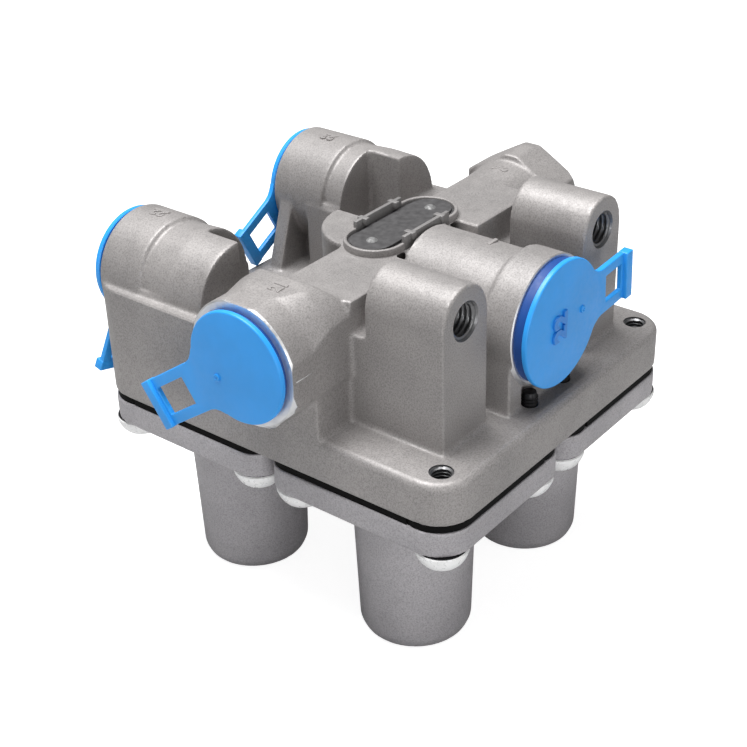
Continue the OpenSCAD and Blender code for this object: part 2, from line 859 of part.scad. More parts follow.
// Check valves that feed the two back circuits

module check_valve() {
    disc_low = check_seat_z - check_disc_t;
    bar_z(0, 0, disc_low, check_seat_z, check_r - slide_fit);
    bar_z(0, 0, disc_low - check_stem_h, disc_low + bond, check_stem_r);
}

module check_valve_left() color([0.85, 0.83, 0.75]) placed() translate([-cup_x, 0, 0]) check_valve();
module check_valve_right() color([0.85, 0.83, 0.75]) placed() translate([cup_x, 0, 0]) check_valve();

module check_spring() {
    coil(check_coil_r, check_wire_r, check_keep_t, check_seat_z - check_disc_t, 4, 6, 10);
}

module check_spring_left() color([0.6, 0.6, 0.62]) placed() translate([-cup_x, 0, 0]) check_spring();
module check_spring_right() color([0.6, 0.6, 0.62]) placed() translate([cup_x, 0, 0]) check_spring();

module check_keeper() {
    bar_z(0, 0, 0, check_keep_t, check_r - slide_fit);
}

module check_keeper_left() color([0.7, 0.7, 0.7]) placed() translate([-cup_x, 0, 0]) check_keeper();
module check_keeper_right() color([0.7, 0.7, 0.7]) placed() translate([cup_x, 0, 0]) check_keeper();

// Port caps: drawn with the mouth plane at z = 0, the skirt below it, a shoulder that holds the
// disc off the mouth, and the pull tab along +X
module cap(reach, r, lift, window_x0, tilt = 0) {
    skirt_r = port_drill_r - cap_fit;
    skirt_wall = 1.6;
    difference() {
        union() {
            translate([0, 0, lift])
                cylinder(r = r, h = cap_t);
            translate([0, 0, cap_seat])
                cylinder(r = r - cap_undercut, h = lift + bond - cap_seat);
            translate([0, 0, -cap_skirt])
                cylinder(r = skirt_r, h = cap_skirt + bond);
            translate([r * 0.52, 0, lift + cap_t - bond])
                cylinder(r = 1.1, h = bond + 0.6);
        }
        translate([0, 0, -cap_skirt - over])
            cylinder(r = skirt_r - skirt_wall, h = cap_skirt + over);
    }
    pull_tab(reach, r - 2, lift, window_x0, tilt);
}

// A tab from x0 outwards, tilted away from the port where it has to clear the flange
module pull_tab(reach, x0, lift, window_x0, tilt) {
    bar_w = 3.6;
    window_x1 = reach - bar_w - 1.2;
    window_half = tab_w / 2 - 3.2;
    translate([x0, 0, lift])
        rotate([0, -tilt, 0])
            difference() {
                union() {
                    translate([0, -tab_w / 2, 0])
                        cube([reach - x0, tab_w, cap_t]);
                    translate([reach - x0 - bar_w, -tab_w / 2, 0])
                        cube([bar_w, tab_w, cap_t + 1.2]);
                }
                translate([window_x0 - x0, -window_half, -over])
                    cube([window_x1 - window_x0, 2 * window_half, cap_t + 2 * over]);
            }
}

cap_blue = [0.2, 0.55, 0.87];

module cap_left() color(cap_blue) placed()
    translate([-left_mouth, side_port_y, port_z])
        rotate([0, -90, 0])
            rotate([0, 0, 125])
                cap(tab_reach_left, cap_r, 1.1, 21.8);

module cap_front() color(cap_blue) placed()
    translate([0, front_mouth_y, port_z])
        rotate([90, 0, 0])
            rotate([0, 0, 3])
                cap(tab_reach_front, front_cap_r, 2.8, 21.5);

module cap_back_left() color(cap_blue) placed()
    translate([-back_port_x, back_mouth_y, port_z])
        rotate([-90, 0, 0])
            rotate([0, 0, 105])
                cap(tab_reach_back + 2.6, cap_r, 1.2, 19, 13);

module cap_back_right() color(cap_blue) placed()
    translate([back_port_x, back_mouth_y, port_z])
        rotate([-90, 0, 0])
            rotate([0, 0, 152])
                cap(tab_reach_back, cap_r, 0.7, 19);

valve_body();
name_plate();
name_plate_pins();
diaphragm_rim_front_left();
diaphragm_rim_front_right();
diaphragm_rim_back_left();
diaphragm_rim_back_right();
diaphragm_web_front_left();
diaphragm_web_front_right();
diaphragm_web_back_left();
diaphragm_web_back_right();
spring_housing_front_left();
spring_housing_front_right();
spring_housing_back_left();
spring_housing_back_right();
housing_screws_front_left();
housing_screws_front_right();
housing_screws_back_left();
housing_screws_back_right();
valve_seal_front_left();
valve_seal_front_right();
valve_seal_back_left();
valve_seal_back_right();
valve_piston_front_left();
valve_piston_front_right();
valve_piston_back_left();
valve_piston_back_right();
spring_dish_front_left();
spring_dish_front_right();
spring_dish_back_left();
spring_dish_back_right();
main_spring_front_left();
main_spring_front_right();
main_spring_back_left();
main_spring_back_right();
adjusting_plate_front_left();
adjusting_plate_front_right();
adjusting_plate_back_left();
adjusting_plate_back_right();
adjusting_screw_front_left();
adjusting_screw_front_right();
adjusting_screw_back_left();
adjusting_screw_back_right();
check_valve_left();
check_valve_right();
check_spring_left();
check_spring_right();
check_keeper_left();
check_keeper_right();
cap_left();
cap_front();
cap_back_left();
cap_back_right();
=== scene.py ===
"""Looks for the four-circuit protection valve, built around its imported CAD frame.

Places are written in millimetres from the middle of the flange underside, as the CAD source
does, and at() moves them into the shared frame in metres.
"""

from collections import namedtuple
import math

import bmesh
import bpy
from mathutils import Matrix, Vector


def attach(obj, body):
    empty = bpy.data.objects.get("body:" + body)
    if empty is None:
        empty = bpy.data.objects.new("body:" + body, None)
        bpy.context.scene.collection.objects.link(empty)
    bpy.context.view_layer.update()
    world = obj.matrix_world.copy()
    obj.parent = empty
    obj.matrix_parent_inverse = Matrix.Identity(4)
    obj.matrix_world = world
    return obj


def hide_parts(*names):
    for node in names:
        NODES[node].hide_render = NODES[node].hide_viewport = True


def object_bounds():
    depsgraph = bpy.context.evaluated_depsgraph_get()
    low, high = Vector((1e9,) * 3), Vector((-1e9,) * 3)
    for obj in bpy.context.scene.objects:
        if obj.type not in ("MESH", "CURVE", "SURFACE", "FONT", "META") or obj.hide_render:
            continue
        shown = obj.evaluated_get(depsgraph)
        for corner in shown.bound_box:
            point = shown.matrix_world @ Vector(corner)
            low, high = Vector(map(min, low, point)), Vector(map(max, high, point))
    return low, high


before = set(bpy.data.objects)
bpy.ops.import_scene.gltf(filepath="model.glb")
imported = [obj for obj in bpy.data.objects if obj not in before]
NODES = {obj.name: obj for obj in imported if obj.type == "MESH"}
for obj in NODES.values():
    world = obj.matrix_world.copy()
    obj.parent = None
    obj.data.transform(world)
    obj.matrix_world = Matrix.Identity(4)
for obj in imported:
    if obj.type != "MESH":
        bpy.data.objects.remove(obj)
CAD_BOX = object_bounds()

MM = 0.001
SIDES = ("left", "right")
QUARTERS = [(f"{fb}_{lr}", -1 if lr == "left" else 1, -1 if fb == "front" else 1)
            for fb in ("front", "back") for lr in SIDES]

# Driving sizes of the casting, the same as in the CAD source
BOLT_Z = 47.0
BOSS_FACE_Y = -51.3
BOLT_X = 32.5
HALF_X = 55.5
HALF_Y = 62.5
FLANGE_T = 12.5
TOP_Z = 47.5
PORT_Z = 34.5
PORT_DRILL_R = 10.25
PORT_DEPTH = 15.5
SCREW_INSET = 7.6
SCREW_MID = 8.0
SCREW_R = 2.95
SCREW_TIP = 8
SCREW_HEAD_R = 7.2
SCREW_HEAD_H = 5.6
PLATE_LOW = -9.5
PLATE_MID = (0.4, -6.5)
PLATE_HALF = (19.4, 7.8)
PLATE_FLOOR_Z = TOP_Z + 0.9

# Name plate seat: how deep its pieces start, its round rim and its two straight walls
SEAT_LOW = TOP_Z - 0.6
RIM_W = 1.0
RIM_H = 1.1
WALL_H = 3.0

# Each port: a point on its axis in the mouth plane, the way out, the radius of its mouth, its
# turned chamfer, and the radius that the blank is filled to
Port = namedtuple("Port", "point out mouth_r chamfer fill_r")
PORTS = {
    "left": Port((-64.8, -5.5, PORT_Z), (-1, 0, 0), 17.7, 0.5, 16.9),
    "right": Port((66.5, -6.5, PORT_Z), (1, 0, 0), 17.4, 0.8, 15.4),
    "front": Port((0, -55.2, PORT_Z), (0, -1, 0), 18.0, 0.3, 18.0),
    "back_left": Port((-36.7, 59.5, PORT_Z), (0, 1, 0), 16.5, 0.6, 16.5),
    "back_right": Port((36.7, 59.5, PORT_Z), (0, 1, 0), 16.5, 0.6, 16.5),
}

# Threads, bores and studs; a thread is a thin sleeve that is set in its bore's wall
THREAD_GROOVE = 0.9
PORT_MAJOR_R = PORT_DRILL_R + THREAD_GROOVE
PORT_PITCH = 1.5
SLEEVE_WALL = 0.35
BOLT_FILL_R = 5.8
BOLT_BORE_R = 4.95
BOLT_DEPTH = 20
BOLT_CHAMFER = 0.45
STUD_TIP = 16.4
STUD_R = 2.35
# Thickness of the black ring under each screw head, painted shade for the gap between head and
# plate
SHADE_RING_T = 0.3

# The blank is cast a little longer than its mouths, which are then turned with some clearance
BLANK_EXTRA = 1.2
TURN_CLEAR = 0.6

# Cell size of the rounded casting and of the rounded cups
VOXEL = 0.5
CUP_VOXEL = 0.6

# Steps behind the back collars: the collar's radius, each collar's length, and how deep the step
# is and how far it fades out along the tube
BACK_COLLAR_R = 16.5
COLLAR_STEPS = {"back_left": 15.5, "back_right": 19.5}
STEP_DEPTH = 1.2
STEP_FADE = 16

# Six-sided form of the right port: half its width across the flats, the height over the axis at
# which its top and bottom corners are cut, and its length
NUT_HALF = 15.55
NUT_TOP = 16.5
NUT_LENGTH = 12.4

FINE = 128  # steps in a large round


def at(x, y, z):
    """A point of the casting in the shared frame, in metres."""
    return Vector((x, y - BOSS_FACE_Y, z - BOLT_Z)) * MM


def axes_of(direction):
    """Two unit vectors square to a direction, and the direction."""
    out = Vector(direction).normalized()
    side = Vector((0, 0, 1)).cross(out) if abs(out.z) < 0.9 else Vector((1, 0, 0))
    side.normalize()
    return side, out.cross(side), out


# Camera

# Solved from the photograph: its width and the focal length in pixels, turns in radians, and the
# shift and distance in millimetres
PHOTO = 747
FOCAL_PX = 1466.786
CAM_YAW, CAM_TILT, CAM_ROLL = -0.88660, 0.53000, -0.03200
CAM_SHIFT = (-3.7555, -0.7026)
CAM_DISTANCE = 432.2395


def make_camera():
    right = Vector((math.cos(CAM_YAW), math.sin(CAM_YAW), 0))
    back = Vector((math.sin(CAM_YAW) * math.cos(CAM_TILT),
                   -math.cos(CAM_YAW) * math.cos(CAM_TILT), math.sin(CAM_TILT)))
    up = back.cross(right)
    c, s = math.cos(CAM_ROLL), math.sin(CAM_ROLL)
    right, up = c * right + s * up, c * up - s * right
    place = CAM_SHIFT[0] * right + CAM_SHIFT[1] * up + CAM_DISTANCE * back
    data = bpy.data.cameras.new("camera")
    data.sensor_width = 36
    data.lens = data.sensor_width * FOCAL_PX / PHOTO
    data.clip_start, data.clip_end = 0.01, 20
    cam = bpy.data.objects.new("camera", data)
    turn = Matrix((right, up, back)).transposed().to_4x4()
    cam.matrix_world = Matrix.Translation(at(*place)) @ turn
    bpy.context.scene.collection.objects.link(cam)
    bpy.context.scene.camera = cam


# Materials

def srgb(r, g, b):
    """A colour written as 0 to 255 screen values."""
    def linear(v):
        v /= 255
        return v / 12.92 if v <= 0.04045 else ((v + 0.055) / 1.055) ** 2.4
    return (linear(r), linear(g), linear(b), 1)


def add_node(tree, kind, **values):
    n = tree.nodes.new("ShaderNode" + kind)
    for k, v in values.items():
        setattr(n, k, v)
    return n


class Mat:
    """A material with helpers that add nodes and links."""

    def __init__(self, name, roughness, metallic=0.0, specular=0.5):
        self.mat = bpy.data.materials.new(name)
        self.mat.use_nodes = True
        self.tree = self.mat.node_tree
        self.bsdf = self.tree.nodes["Principled BSDF"]
        self.bsdf.inputs["Roughness"].default_value = roughness
        self.bsdf.inputs["Metallic"].default_value = metallic
        self.bsdf.inputs["Specular IOR Level"].default_value = specular
        self.coord = self.node("TexCoord").outputs["Object"]

    def node(self, kind, **values):
        return add_node(self.tree, kind, **values)

    def link(self, a, b):
        self.tree.links.new(a, b)

    def noise(self, scale, detail=2.0, rough=0.5):
        n = self.node("TexNoise")
        n.inputs["Scale"].default_value = scale
        n.inputs["Detail"].default_value = detail
        n.inputs["Roughness"].default_value = rough
        self.link(self.coord, n.inputs["Vector"])
        return n.outputs["Fac"]

    def ramp(self, source, stops):
        n = self.node("ValToRGB")
        points = n.color_ramp.elements
        while len(points) < len(stops):
            points.new(0.5)
        for p, (place, colour) in zip(points, stops):
            p.position = place
            p.color = colour if hasattr(colour, "__len__") else (colour, colour, colour, 1)
        self.link(source, n.inputs["Fac"])
        return n.outputs["Color"]

    def mix(self, a, b, factor, blend="MIX"):
        n = self.node("Mix", data_type="RGBA", blend_type=blend)
        # A colour mix keeps its colours in sockets 6 and 7 and its result in output 2
        for socket, value in ((n.inputs[6], a), (n.inputs[7], b), (n.inputs[0], factor)):
            if isinstance(value, bpy.types.NodeSocket):
                self.link(value, socket)
            else:
                socket.default_value = value
        return n.outputs[2]

    def bump(self, height, distance, strength=1.0, after=None):
        n = self.node("Bump")
        n.inputs["Distance"].default_value = distance
        n.inputs["Strength"].default_value = strength
        self.link(height, n.inputs["Height"])
        if after is not None:
            self.link(after, n.inputs["Normal"])
        return n.outputs["Normal"]

    def colour(self, source):
        self.link(source, self.bsdf.inputs["Base Color"])

    def rough(self, source):
        self.link(source, self.bsdf.inputs["Roughness"])

    def normal(self, source):
        self.link(source, self.bsdf.inputs["Normal"])


def cast_metal(name, dark, light, grain=1.0):
    """Bead-blasted casting skin: mottled warm grey, a fine grain and slightly brighter edges."""
    m = Mat(name, 0.5, metallic=0.25)
    broad = m.ramp(m.noise(38, 3), [(0.35, dark), (0.65, light)])
    speckle = m.ramp(m.noise(2300, 2, 0.7), [(0.34, 0.66), (0.5, 1.0), (0.66, 1.2)])
    skin = m.mix(broad, speckle, 0.75, "MULTIPLY")
    pits = m.ramp(m.noise(900, 1), [(0.2, 0.6), (0.26, 1.0)])
    skin = m.mix(skin, pits, 0.4, "MULTIPLY")
    # Sharp edges are made lighter
    edge = m.node("NewGeometry").outputs["Pointiness"]
    edge_lift = m.ramp(edge, [(0.52, 0.0), (0.58, 0.35)])
    m.colour(m.mix(skin, [min(1, c * 1.25) for c in light[:3]] + [1], edge_lift))
    m.rough(m.ramp(m.noise(300), [(0.3, 0.42), (0.7, 0.56)]))
    coarse = m.bump(m.noise(700, 2), 0.00006 * grain, 0.5)
    m.normal(m.bump(m.noise(2200, 3, 0.65), 0.00004 * grain, 0.7, coarse))
    return m.mat


def turned_metal(name, tone, roughness=0.28, metallic=0.9):
    """Machined aluminium or plated steel with fine tool marks."""
    m = Mat(name, roughness, metallic=metallic)
    m.colour(m.ramp(m.noise(160, 3), [(0.3, [t * 0.88 for t in tone] + [1]), (0.7, [*tone, 1])]))
    m.rough(m.ramp(m.noise(900, 2), [(0.3, roughness * 0.8), (0.7, roughness * 1.3)]))
    m.normal(m.bump(m.noise(2600, 2), 0.00002, 0.5))
    return m.mat


def plastic(name, colour, roughness=0.36):
    m = Mat(name, roughness, specular=0.45)
    deep = [c * 0.9 for c in colour[:3]] + [1]
    m.colour(m.ramp(m.noise(70, 3), [(0.35, deep), (0.65, colour)]))
    m.rough(m.ramp(m.noise(700, 2), [(0.3, roughness * 0.85), (0.7, roughness * 1.2)]))
    m.normal(m.bump(m.noise(420, 3), 0.00004, 0.35))
    return m.mat


def rubber(name, tone):
    m = Mat(name, 0.7, specular=0.08)
    m.colour(m.ramp(m.noise(240, 2), [(0.3, (tone * 0.7,) * 3 + (1,)), (0.7, (tone,) * 3 + (1,))]))
    m.normal(m.bump(m.noise(1300, 2), 0.00005, 0.6))
    return m.mat


def dark_plate(name):
    m = Mat(name, 0.5, metallic=0.3)
    m.colour(m.ramp(m.noise(500, 3), [(0.3, srgb(70, 69, 70)), (0.7, srgb(92, 91, 92))]))
    m.normal(m.bump(m.noise(1500, 3), 0.00004, 0.6))
    return m.mat


CAST = cast_metal("cast_skin", (0.275, 0.262, 0.258, 1), (0.335, 0.318, 0.312, 1))
CUP = cast_metal("cup_skin", (0.36, 0.347, 0.363, 1), (0.435, 0.42, 0.437, 1))
# A darker copy of the casting skin for the plate walls: painted shade on walls that stand in
# shadow
SHADED_WALL = cast_metal("plate_wall_painted_shade", (0.18, 0.175, 0.174, 1), (0.24, 0.232, 0.23, 1))
MACHINED = turned_metal("machined_face", (0.78, 0.78, 0.79), 0.42)
# Dark grey metal for the bores and the bolt and flange threads: painted shade inside the holes
PAINTED_SHADE_BORE = turned_metal("bored_metal_painted_shade", (0.2, 0.2, 0.205), 0.4)
ZINC = turned_metal("zinc_screw", (0.97, 0.97, 0.97), 0.3, 0.12)
STEEL = turned_metal("spring_steel", (0.45, 0.45, 0.47), 0.35)
BRASS = turned_metal("dish_metal", (0.55, 0.54, 0.5), 0.4)
# Black steel for the screw shanks, and painted shade as the thin black ring under each screw head
BLACK_STEEL_AND_SHADE = turned_metal("blackened_steel_and_shade", (0.03, 0.03, 0.032), 0.45)
BLUE = plastic("blue_cap", (0.03, 0.35, 0.9, 1))
# Dark blue for each cap's shoulder: painted shade in the gap under the disc
PAINTED_SHADE_BLUE = plastic("blue_cap_painted_shade", (0.006, 0.06, 0.27, 1), 0.5)
# Darker blue for the raised figures on the front cap: painted shade along their edges
SHADED_FIGURE_BLUE = plastic("blue_figures_painted_shade", (0.02, 0.24, 0.74, 1))
ACETAL = plastic("valve_plastic", srgb(214, 210, 196))
RUBBER = rubber("diaphragm_rubber", 0.005)
SEAL = rubber("seal_rubber", 0.03)
PLATE = dark_plate("plate_dark")
PIN = turned_metal("pin_metal", (0.3, 0.3, 0.3), 0.75)
CAST_MATS = [CAST, MACHINED, PAINTED_SHADE_BORE]  # slots that the casting and its cutters share
TURNED_SLOT, SHADED_BORE_SLOT = 1, 2


# Mesh helpers

def add_object(name, mesh, mats=()):
    obj = bpy.data.objects.new(name, mesh)
    bpy.context.scene.collection.objects.link(obj)
    for m in mats:
        mesh.materials.append(m)
    return obj


def turned_mesh(bm, profile, origin, direction, steps=96, mat=0):
    """Turns a closed profile of (radius, height) points about an axis, into bm."""
    side, up, out = axes_of(direction)
    start = at(*origin)
    rings = []
    turns = [2 * math.pi * i / steps for i in range(steps)]
    for r, h in profile:
        if r < 1e-6:
            rings.append([bm.verts.new(start + out * h * MM)] * steps)
            continue
        rings.append([bm.verts.new(start + (out * h + (side * math.cos(t)
                                                       + up * math.sin(t)) * r) * MM)
                      for t in turns])
    for a, b in zip(rings, rings[1:] + rings[:1]):
        if a[0] is a[1] and b[0] is b[1]:
            continue
        for i in range(steps):
            j = (i + 1) % steps
            face = list(dict.fromkeys([a[i], a[j], b[j], b[i]]))
            if len(face) >= 3:
                bm.faces.new(face).material_index = mat


def rod(bm, origin, direction, r, h0, h1, steps=64, mat=0):
    turned_mesh(bm, [(0, h0), (r, h0), (r, h1), (0, h1)], origin, direction, steps, mat)


def bridge(bm, a, b):
    """Faces between two rings that have as many corners."""
    for i in range(len(a)):
        j = (i + 1) % len(a)
        bm.faces.new([a[i], a[j], b[j], b[i]])


def prism(bm, low, high):
    """A closed solid between two outlines of as many corners."""
    bm.faces.new(low)
    bm.faces.new(high)
    bridge(bm, low, high)


def block(bm, x0, x1, y0, y1, z0, z1):
    low, high = ([bm.verts.new(at(x, y, z)) for x, y in ((x0, y0), (x1, y0), (x1, y1), (x0, y1))]
                 for z in (z0, z1))
    prism(bm, low, high)


def to_object(bm, name, mats=()):
    bmesh.ops.recalc_face_normals(bm, faces=bm.faces)
    mesh = bpy.data.meshes.new(name)
    bm.to_mesh(mesh)
    bm.free()
    return add_object(name, mesh, mats)


def settle(obj, angle=0.6):
    """Applies the modifiers and shades smooth up to an angle."""
    graph = bpy.context.evaluated_depsgraph_get()
    mesh = bpy.data.meshes.new_from_object(obj.evaluated_get(graph))
    mesh.name = obj.name
    obj.modifiers.clear()
    obj.data = mesh
    mesh.shade_smooth()
    mesh.set_sharp_from_angle(angle=angle)
    return obj


def cad_copy(bm, node):
    bm.from_mesh(NODES[node].data)
    bmesh.ops.remove_doubles(bm, verts=bm.verts, dist=2e-6)


def remesh(obj, voxel, passes):
    """Casting look: a fine even mesh whose edges and corners are then smoothed round."""
    mod = obj.modifiers.new("voxels", "REMESH")
    mod.mode = "VOXEL"
    mod.voxel_size = voxel * MM
    mod.use_smooth_shade = True
    mod = obj.modifiers.new("round", "SMOOTH")
    mod.factor = 0.5
    mod.iterations = passes
    return settle(obj)


def combine(obj, other, operation):
    mod = obj.modifiers.new("combine", "BOOLEAN")
    mod.operation = operation
    mod.object = other
    mod.solver = "MANIFOLD"
    settle(obj)
    bpy.data.objects.remove(other)


def cut(obj, cutter):
    combine(obj, cutter, "DIFFERENCE")


def join(obj, other):
    combine(obj, other, "UNION")


def dress(node, mat):
    """Gives a CAD node its material."""
    materials = NODES[node].data.materials
    materials.clear()
    materials.append(mat)


# Casting

def flange_holes():
    """Places of the threaded holes that run out through the top of the flange."""
    outer_x, outer_y = HALF_X - SCREW_INSET, HALF_Y - SCREW_INSET
    for s in (-1, 1):
        yield s * outer_x, -SCREW_MID
        for x in (SCREW_MID, outer_x):
            for t in (-1, 1):
                yield s * x, t * outer_y


def stands_proud(x, y):
    """Whether the screw in this hole, one of the two at the front, stands out on the flange."""
    return abs(x) < SCREW_MID + 1 and y < -SCREW_MID - 1


def nut_prism(bm):
    """Crisp six-sided form on the right port, corner up, with its top and bottom corners cut."""
    x, y, z = PORTS["right"].point
    corner = NUT_HALF / math.cos(math.radians(30))
    cut_y = (corner - NUT_TOP) * math.tan(math.radians(60))
    quarter = [(NUT_HALF, corner / 2), (cut_y, NUT_TOP)]
    plan = quarter + [(-a, b) for a, b in reversed(quarter)]
    plan += [(-a, -b) for a, b in plan]
    prism(bm, *([bm.verts.new(at(x + h, y + a, z + b)) for a, b in plan]
                for h in (-NUT_LENGTH, BLANK_EXTRA)))


def upper_ring(profile, port, low):
    """A turned cutter on a port's axis, kept only above a height."""
    bm = bmesh.new()
    turned_mesh(bm, profile, *PORTS[port][:2], FINE)
    everything = bm.verts[:] + bm.edges[:] + bm.faces[:]
    bmesh.ops.bisect_plane(bm, geom=everything, plane_co=at(0, 0, low), plane_no=(0, 0, -1),
                           clear_outer=True)
    bmesh.ops.holes_fill(bm, edges=bm.edges[:], sides=0)
    return to_object(bm, "cutter", CAST_MATS)


def round_left_mouth():
    """Turns the last stretch of the left port round, as its casting is."""
    r = PORTS["left"].mouth_r
    wide, flare, fade, length = r + 2.5, r + 1.5, -8, -15
    return upper_ring([(r, 3), (wide, 3), (wide, length), (flare, length), (r, fade)],
                      "left", PORT_Z + 4)


def collar_step(port, length):
    """The crisp step behind the collar of a back port, fading out along the tube."""
    r, end = BACK_COLLAR_R, -length - STEP_FADE
    return upper_ring([(r - STEP_DEPTH, -length), (r + 1, -length), (r + 1, end), (r - 0.3, end)],
                      port, PORT_Z + 1.5)


def cast_blank():
    """The casting before machining: bores filled, mouths a little longer, all edges round."""
    bm = bmesh.new()
    cad_copy(bm, "valve_body")
    for port in PORTS.values():
        for r, low in ((PORT_DRILL_R + 1.3, 0.2 - PORT_DEPTH), (port.fill_r, -1)):
            rod(bm, port.point, port.out, r, low, BLANK_EXTRA)
    for s in (-1, 1):
        rod(bm, (s * BOLT_X, BOSS_FACE_Y, BOLT_Z), (0, -1, 0), BOLT_FILL_R, 0.5 - BOLT_DEPTH, 0)
    for x, y in flange_holes():
        rod(bm, (x, y, 0), (0, 0, 1), SCREW_R + 0.4, FLANGE_T - 3.5, FLANGE_T)
    nut_prism(bm)
    body = remesh(to_object(bm, "cast_body", CAST_MATS), VOXEL, 1)
    cut(body, round_left_mouth())
    for port, length in COLLAR_STEPS.items():
        cut(body, collar_step(port, length))
    return remesh(body, VOXEL, 2)


def turned_mouths():
    """Cutter that faces every mouth and chamfers its edge."""
    bm = bmesh.new()
    for port in PORTS.values():
        edge = port.mouth_r + TURN_CLEAR
        turned_mesh(bm, [(0, 3), (edge, 3), (edge, -TURN_CLEAR - port.chamfer),
                         (port.mouth_r - port.chamfer, 0), (0, 0)],
                    port.point, port.out, FINE, TURNED_SLOT)
    return to_object(bm, "cutter", CAST_MATS)


def bores():
    """Cutter for the port bores, the bracket bolt holes and the flange holes."""
    bm = bmesh.new()
    # All these holes take the dark bore slot: painted shade inside them
    for port in PORTS.values():
        rod(bm, port.point, port.out, PORT_MAJOR_R + 0.05, -PORT_DEPTH, 2, 96, SHADED_BORE_SLOT)
    r = BOLT_BORE_R
    for s in (-1, 1):
        turned_mesh(bm, [(0, 2), (r + BOLT_CHAMFER + 2, 2), (r + BOLT_CHAMFER, 0), (r, -0.6),
                         (r, -BOLT_DEPTH), (0, -BOLT_DEPTH)],
                    (s * BOLT_X, BOSS_FACE_Y, BOLT_Z), (0, -1, 0), 64, SHADED_BORE_SLOT)
    for x, y in flange_holes():
        hole_r, top = SCREW_R + 0.3, FLANGE_T + 2.5
        if stands_proud(x, y):
            hole_r, top = STUD_R + 0.1, STUD_TIP
        rod(bm, (x, y, 0), (0, 0, 1), hole_r, -1, top, 40, SHADED_BORE_SLOT)
    return to_object(bm, "cutter", CAST_MATS)


def plate_pocket():
    """Cutter that clears the CAD's rim and walls, which plate_seat() makes again."""
    (x, y), (hx, hy) = PLATE_MID, (h + 2.2 for h in PLATE_HALF)
    bm = bmesh.new()
    block(bm, x - hx, x + hx, y - hy, y + hy, TOP_Z - 0.02, TOP_Z + 8)
    return to_object(bm, "cutter", CAST_MATS)


def cast_body():
    body = cast_blank()
    for cutter in (turned_mouths, bores, plate_pocket):
        cut(body, cutter())
    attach(body, "casting")
    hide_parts("valve_body")


# Threads

def thread_sleeve(name, origin, direction, major, minor, length, pitch, mat, steps=72, rows=8):
    """A female thread: a sleeve whose inside follows the helix, set in the bore."""
    side, up, out = axes_of(direction)
    start = at(*origin)
    bm = bmesh.new()
    turns = [2 * math.pi * i / steps for i in range(steps)]

    def ring(h, radii):
        return [bm.verts.new(start + (out * h + (side * math.cos(t) + up * math.sin(t)) * r) * MM)
                for t, r in zip(turns, radii)]

    def depth(share):
        """How far the thread stands in at a share of its pitch: flat crest, slanted flanks."""
        return min(1, max(0, 1.6 - 3.2 * abs(share % 1 - 0.5)))

    count = int(length / pitch * rows)
    shell = [major + SLEEVE_WALL] * steps
    grid = [ring(0, shell), ring(0, [major] * steps)]
    for k in range(1, count + 1):
        h = -length * k / count
        grid.append(ring(h, [major - (major - minor) * depth(h / pitch + i / steps)
                             for i in range(steps)]))
    grid.append(ring(-length, shell))
    for a, b in zip(grid, grid[1:] + grid[:1]):
        bridge(bm, a, b)
    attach(settle(to_object(bm, name, [mat]), 0.7), "casting")


def make_threads():
    for name, port in PORTS.items():
        set_back = [p - 0.05 * d for p, d in zip(port.point, port.out)]
        thread_sleeve(f"port_thread_{name}", set_back, port.out, PORT_MAJOR_R,
                      PORT_DRILL_R - 0.02, PORT_DEPTH - 0.4, PORT_PITCH, MACHINED, 96)
    # The bolt and flange threads are dark: painted shade inside their holes
    for side, s in zip(SIDES, (-1, 1)):
        thread_sleeve(f"bolt_thread_{side}", (s * BOLT_X, BOSS_FACE_Y + 0.7, BOLT_Z), (0, -1, 0),
                      BOLT_BORE_R - 0.05, BOLT_BORE_R - 0.7, BOLT_DEPTH - 1.2, 1.5, PAINTED_SHADE_BORE, 48)
    for i, (x, y) in enumerate(flange_holes()):
        if not stands_proud(x, y):
            thread_sleeve(f"flange_thread_{i + 1}", (x, y, FLANGE_T - 0.5), (0, 0, 1),
                          SCREW_R + 0.2, SCREW_R - 0.4, 6, 1.0, PAINTED_SHADE_BORE, 32)


# Name plate seat

def oval_ring(bm, outer, inner, z0, z1, arc=24):
    """A long oval wall round the middle of the plate, between two (half length, end radius)."""
    def outline(half, r, z):
        ends = [(s, math.pi * (i / arc - s / 2)) for s in (1, -1) for i in range(arc + 1)]
        return [bm.verts.new(at(PLATE_MID[0] + s * (half - r) + r * math.cos(t),
                                PLATE_MID[1] + r * math.sin(t), z)) for s, t in ends]

    loops = [outline(*outer, z0), outline(*outer, z1), outline(*inner, z1), outline(*inner, z0)]
    for a, b in zip(loops, loops[1:] + loops[:1]):
        bridge(bm, a, b)


def bevel(obj, width, segments=2, angle=0.6):
    mod = obj.modifiers.new("edges", "BEVEL")
    mod.width = width * MM
    mod.segments = segments
    mod.limit_method = "ANGLE"
    mod.angle_limit = angle
    mod.use_clamp_overlap = True
    return settle(obj)


def plate_rim():
    hx, hy = PLATE_HALF
    bm = bmesh.new()
    oval_ring(bm, (hx + RIM_W, hy + RIM_W), (hx, hy), SEAT_LOW, PLATE_FLOOR_Z + RIM_H)
    return bevel(to_object(bm, "plate_rim", [CAST]), 0.3, 3)


def plate_floor():
    """The dark floor under the plate, closed but for a pinhole in the middle."""
    hx, hy = (h + RIM_W - 0.3 for h in PLATE_HALF)
    bm = bmesh.new()
    oval_ring(bm, (hx, hy), (0.6, 0.5), SEAT_LOW, PLATE_FLOOR_Z)
    return settle(to_object(bm, "plate_floor", [PLATE]))


